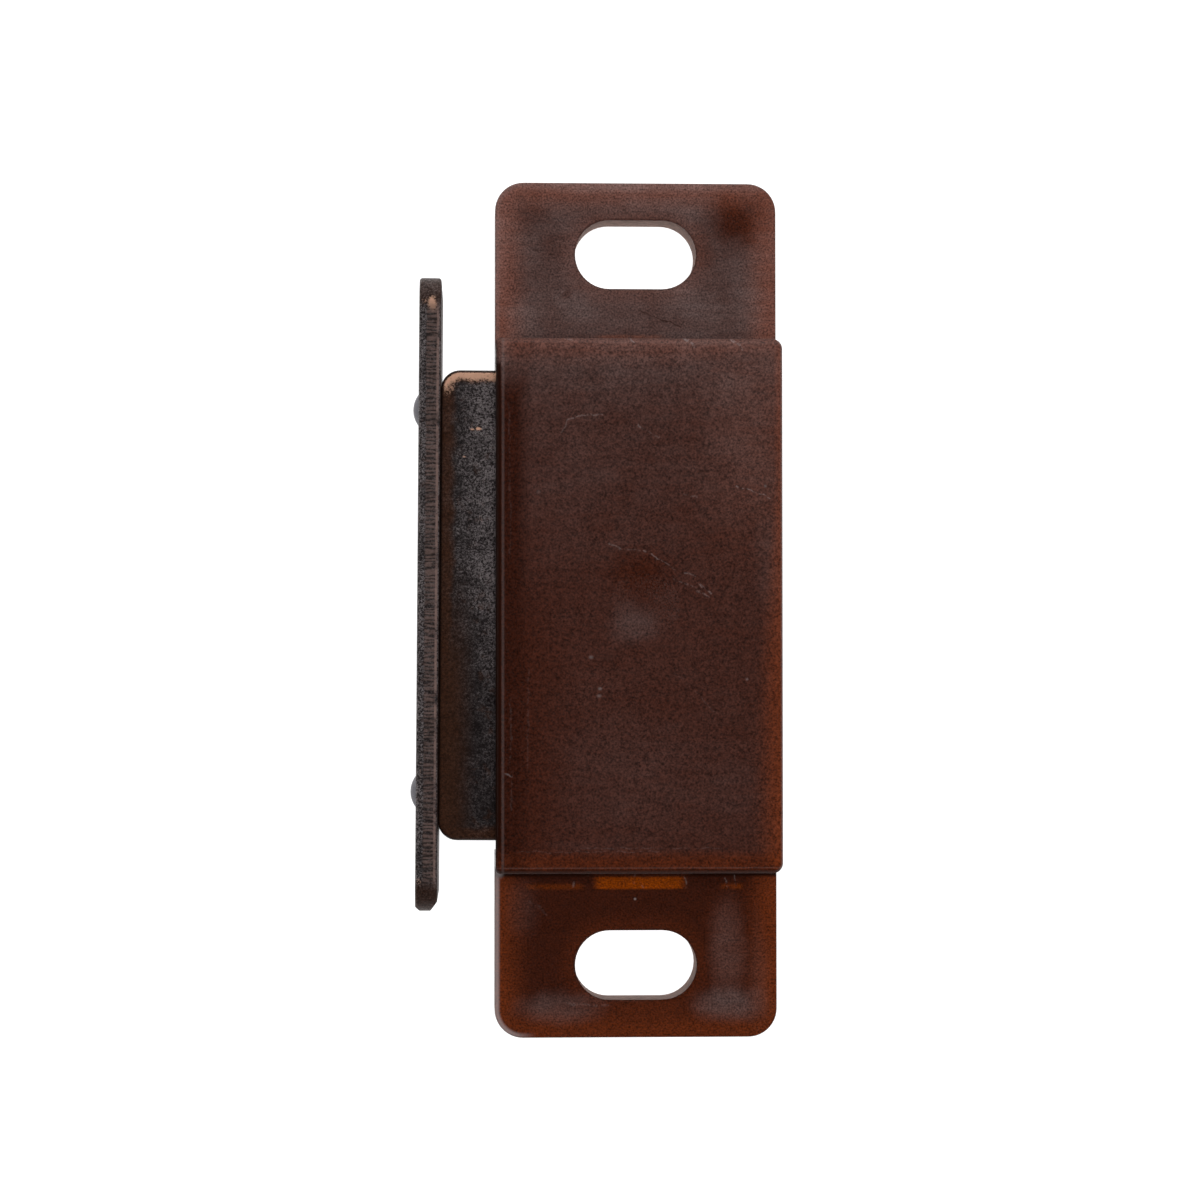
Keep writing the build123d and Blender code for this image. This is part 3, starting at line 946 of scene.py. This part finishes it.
def pole_bronze():
    """The bronze of the pole plates."""
    material, tree, shader, place = new_material("pole_bronze")
    square = turned_back(tree, place)
    x, y = parts_of(tree, square)[:2]
    bent = bend(tree, place)
    inside = outline_inside(tree, square, pole_low, pole_high, POLE_CORNER)
    ragged_inside = maths(tree, "MULTIPLY_ADD", bent, 0.9, inside)
    on_edge = product(tree, [mask(tree, ragged_inside, 1.05, 0.35), mask(tree, inside, 0.10, 0.24)])
    upper_edge_rub_and_highlight = product(tree, [on_edge, mask(tree, y, 12.9, 14.3)])
    rubbed = most_of(tree, [upper_edge_rub_and_highlight, *soft_spots(tree, place, POLE_CHIPS, bent)])
    front = mask(tree, ragged_inside, 1.15, 0.55, 0.95)
    low_half = mask(tree, y, 4.0, -6.0)
    brown = most_of(tree, [front, product(tree, [low_half, mask(tree, x, -10.4, -12.2, 0.9)])])
    beside_case = put_range(tree, x, -12.2, -9.7, 0.55, 2.2)
    bright = product(tree, [either(tree, low_half, 1.0, LOW_HALF_BRIGHT), beside_case])
    colour, roughness, height = bronze_film(tree, square, bright, brown, rubbed)
    # Painted shade along the plate's drawn-over rim.
    shaded_rim = mask(tree, inside, 0.20, 0.02, 0.75)
    colour = mix(tree, shaded_rim, colour, FILM_DARK)
    shader.inputs["Metallic"].default_value = METAL_SHARE
    set_surface(tree, shader, colour, roughness, height, BRONZE_RELIEF)
    return material


bronze = pole_bronze()
dress(nodes["upper_pole_plate"], bronze)
dress(nodes["lower_pole_plate"], bronze)
print("poles dressed")

# %% [markdown]
# The strike was sheared from strip. Its cut edge shows how: a smooth dark band where the blade
# slid, then a torn band with rungs across the thickness, then a thin bright line, a painted
# highlight on the rounded corner of the edge. The rungs come from a sine along the edge whose phase
# a noise disturbs, so that they repeat without being alike.

# %% The strike's cut edge
TORN_START = (strike_high.x - 1.00, strike_high.x - 0.84)
TORN_END = (strike_high.x - 0.18, strike_high.x - 0.28)
EDGE_HIGHLIGHT_X = strike_high.x - 0.19
RUNG_PITCH = 0.28
RUNG_UNREST = 22.0
TORN_AND_HIGHLIGHT_BROWN = (0.30, 0.195, 0.17)
TORN_SHADE = 0.35
RUNG_SHARE = 0.58


def cut_edge(tree, square):
    """Masks of the torn band, of the rungs across it and of the painted highlight along its corner."""
    x, y = parts_of(tree, square)[:2]
    patchy = mask(tree, noise(tree, square, 2.0, 3, 0.6), 0.30, 0.62)
    patchy = either(tree, patchy, 0.45, 1.0)
    torn = product(tree, [mask(tree, x, *TORN_START), mask(tree, x, *TORN_END)])
    phase = product(tree, [noise(tree, square, 1.2, 3, 0.6, stretch=(0.3, 1, 1)), RUNG_UNREST])
    wave = maths(tree, "SINE", maths(tree, "MULTIPLY_ADD", y, 2 * pi / RUNG_PITCH, phase))
    rungs = product(tree, [torn, put_range(tree, wave, -0.9, 0.6, 0.15, 1.0), patchy])
    here_and_there = mask(tree, noise(tree, square, 0.8, 3, 0.6), 0.25, 0.50)
    edge_highlight = product(tree, [band(tree, x, EDGE_HIGHLIGHT_X, 0.05, 0.06), here_and_there, patchy])
    return torn, rungs, edge_highlight


print("rungs every", RUNG_PITCH, "mm")

# %% [markdown]
# The strike's ends were cropped by another tool, so the torn band stops short of them. Rubbing has
# taken the upper end down to copper. On the door side the pips have lost their film and show steel.

# %% The strike plate
STRIKE_THICKNESS = 1.4
DOOR_FACE_X = strike_high.x - STRIKE_THICKNESS
PIP_STEEL = (0.16, 0.15, 0.17)
STRIKE_RUBS = [
    ((-13.58, 19.1), (0.50, 0.70), 1.3),
    ((-13.95, 19.3), (0.45, 0.34), 0.5),
    ((-14.15, -17.6), (0.34, 0.50), 0.45),
    ((-13.35, -17.2), (0.20, 0.70), 0.30),
    ((-14.1, -10.5), (0.25, 1.6), 0.25),
]


def strike_bronze():
    """The bronze of the strike plate."""
    material, tree, shader, place = new_material("strike_bronze")
    square = turned_back(tree, place)
    x, y = parts_of(tree, square)[:2]
    middle, half = (strike_low.y + strike_high.y) / 2, (strike_high.y - strike_low.y) / 2
    from_end = maths(tree, "SUBTRACT", half, away_from(tree, y, middle))
    ends = mask(tree, from_end, 2.4, 1.3)
    off_ends = opposite(tree, ends)
    pole_side = mask(tree, x, strike_high.x - 0.07, strike_high.x - 0.02, 0.7)
    brown = most_of(tree, [product(tree, [ends, 0.6]), pole_side])
    bright = either(tree, ends, 1.5, put_range(tree, y, -1, 1, 0.25, 0.7))
    rubbed = most_of(tree, soft_spots(tree, square, STRIKE_RUBS, bend(tree, place)))
    colour, roughness, height = bronze_film(tree, square, bright, brown, rubbed)

    torn, rungs, edge_highlight = cut_edge(tree, square)
    rungs = product(tree, [rungs, off_ends])
    shade = either(tree, product(tree, [torn, off_ends]), 1.0, TORN_SHADE)
    colour = scaled(tree, colour, shade)
    colour = mix(tree, product(tree, [rungs, RUNG_SHARE]), colour, TORN_AND_HIGHLIGHT_BROWN)
    # A thin painted highlight along the corner of the cut edge.
    colour = mix(tree, product(tree, [edge_highlight, off_ends]), colour, TORN_AND_HIGHLIGHT_BROWN)
    height = maths(tree, "ADD", height, rungs)

    pip = mask(tree, x, DOOR_FACE_X - 0.03, DOOR_FACE_X - 0.06)
    colour = mix(tree, pip, colour, PIP_STEEL)
    shader.inputs["Metallic"].default_value = METAL_SHARE
    set_surface(tree, shader, colour, roughness, height, BRONZE_RELIEF)
    return material


dress(nodes["strike_plate"], strike_bronze())
print("strike dressed")

# %% [markdown]
# The magnet is sintered ferrite: a charcoal ceramic, ground flat, dull, with small pores. It lies
# between the poles, out of sight from above, and shows once the strike is pulled away.

# %% The magnet
FERRITE_DARK = (0.030, 0.030, 0.033)
FERRITE_PALE = (0.062, 0.062, 0.067)
FERRITE_PORE = (0.012, 0.012, 0.013)
FERRITE_RELIEF = 0.03


def ferrite():
    """Ground ceramic magnet."""
    material, tree, shader, place = new_material("ferrite")
    body = noise(tree, place, 1.8, 4, 0.6)
    pores = mask(tree, noise(tree, place, 6.0, 2, 0.5), 0.68, 0.78)
    colour = mix(tree, pores, mix(tree, body, FERRITE_DARK, FERRITE_PALE), FERRITE_PORE)
    roughness = maths(tree, "MULTIPLY_ADD", body, 0.2, 0.55)
    height = maths(tree, "MULTIPLY_ADD", pores, -1.5, body)
    set_surface(tree, shader, colour, roughness, height, FERRITE_RELIEF)
    return material


dress(nodes["magnet"], ferrite())
print("magnet dressed")

# %% [markdown]
# The catch lies on a plain pale sheet. A sheet that is white only because of strong light would
# also flood the catch. So the sheet is half grey, and shows a light of its own only to the camera
# and to what mirrors it or lets it through. Its grey part still takes the shadow. It lies a hair
# below the catch, so that the two never share a plane.

# %% Floor
FLOOR_SIZE = 1.2
FLOOR_DROP = 0.05 * MM
FLOOR_GREY = (0.45, 0.45, 0.45, 1)
FLOOR_GLOW = 0.92

floor_shape = bmesh.new()
bmesh.ops.create_grid(floor_shape, x_segments=1, y_segments=1, size=FLOOR_SIZE / 2)
bmesh.ops.translate(floor_shape, verts=floor_shape.verts, vec=(0, 0, -FLOOR_DROP))
floor_mesh = bpy.data.meshes.new("floor")
floor_shape.to_mesh(floor_mesh)
floor_shape.free()
floor = bpy.data.objects.new("floor", floor_mesh)
bpy.context.scene.collection.objects.link(floor)

floor_material, tree, shader = new_material("white_sheet")[:3]
shader.inputs["Base Color"].default_value = FLOOR_GREY
shader.inputs["Roughness"].default_value = 1.0
shader.inputs["Specular IOR Level"].default_value = 0.0
rays = tree.nodes.new("ShaderNodeLightPath").outputs
seen = most_of(tree, [rays["Is Camera Ray"], rays["Is Glossy Ray"], rays["Is Transmission Ray"]])
glow = put(tree, "ShaderNodeEmission", {"Strength": product(tree, [seen, FLOOR_GLOW])})
both = put(tree, "ShaderNodeAddShader", {0: shader.outputs[0], 1: glow.outputs[0]})
tree.links.new(both.outputs[0], tree.nodes["Material Output"].inputs["Surface"])
dress(floor, floor_material)
print("floor", FLOOR_SIZE, "m square")

# %% [markdown]
# The world is what the catch mirrors: a room, brighter towards the upper end, where a window would
# be, and dark overhead, where the camera hangs. That is why the flat top of the block shows its own
# brown and only its upper rounds catch a gleam. For the camera, and for whatever it sees through,
# the world is plain white.

# %% World
ROOM_BRIGHT = 0.26
ROOM_DIM = 0.05
WINDOW_SIDE = (0.25, 0.95, 0.0)
DARK_OVERHEAD = (0.90, 0.35)

world = bpy.data.worlds.new("studio")
bpy.context.scene.world = world
world.use_nodes = True
tree = world.node_tree
towards = tree.nodes.new("ShaderNodeTexCoord").outputs["Generated"]
window = vectors(tree, "DOT_PRODUCT", towards, WINDOW_SIDE, output="Value")
room = maths(tree, "ADD", mask(tree, window, -0.2, 0.9, ROOM_BRIGHT), ROOM_DIM)
room = product(tree, [room, mask(tree, parts_of(tree, towards)["Z"], *DARK_OVERHEAD)])
rays = tree.nodes.new("ShaderNodeLightPath").outputs
seen = most_of(tree, [rays["Is Camera Ray"], rays["Is Transmission Ray"]])
strength = either(tree, seen, room, 1.0)
tree.links.new(strength, tree.nodes["Background"].inputs["Strength"])
tree.nodes["Background"].inputs["Color"].default_value = (1, 1, 1, 1)
print("world: room for the object, white for the camera")

# %% [markdown]
# Two soft boxes. The one overhead gives the even light in which colours show as they are. It is
# hidden from glossy rays, as a photographer would cross-polarise it, because its mirror image would
# lie as a grey veil on every flat top. The one beyond the upper end is weak, and makes the gleams.

# %% Lamps


def soft_box(name, place, size, power):
    """A rectangular lamp that faces the catch."""
    data = bpy.data.lights.new(name, "AREA")
    data.shape = "RECTANGLE"
    data.size, data.size_y = size
    data.energy = power
    lamp = bpy.data.objects.new(name, data)
    lamp.location = place
    lamp.rotation_euler = Vector(place).to_track_quat("Z", "Y").to_euler()
    bpy.context.scene.collection.objects.link(lamp)
    print(name, power, "W")
    return lamp


overhead = soft_box("overhead_box", place=(0.0, 0.0, 0.80), size=(0.28, 0.28), power=5.0)
overhead.visible_glossy = False
soft_box("window_box", place=(0.05, 0.36, 0.36), size=(0.5, 0.3), power=0.55)

# %% [markdown]
# The picture looks straight down from a fifth of a metre, a little towards the strike and below the
# middle, which is why slivers of the strike's inner side and of the slots' outer walls show. Place,
# turn and lens belong together: they were fitted to the outlines of the real object.

# %% Camera
NEAREST_SEEN = 0.01
CAMERA_PLACE = (-10.85, -4.67, 206.46)
CAMERA_TURN = (1.478, -2.381, -0.013)
CAMERA_LENS = 91.68

camera_data = bpy.data.cameras.new("camera")
camera_data.lens = CAMERA_LENS
camera_data.clip_start = NEAREST_SEEN
camera = bpy.data.objects.new("camera", camera_data)
camera.location = Vector(CAMERA_PLACE) * MM
camera.rotation_euler = [radians(angle) for angle in CAMERA_TURN]
bpy.context.scene.collection.objects.link(camera)
bpy.context.scene.camera = camera
bpy.context.scene.view_settings.view_transform = "Standard"
print("camera", CAMERA_PLACE, "mm, lens", CAMERA_LENS)

# %% [markdown]

# %% The end
print("the end")
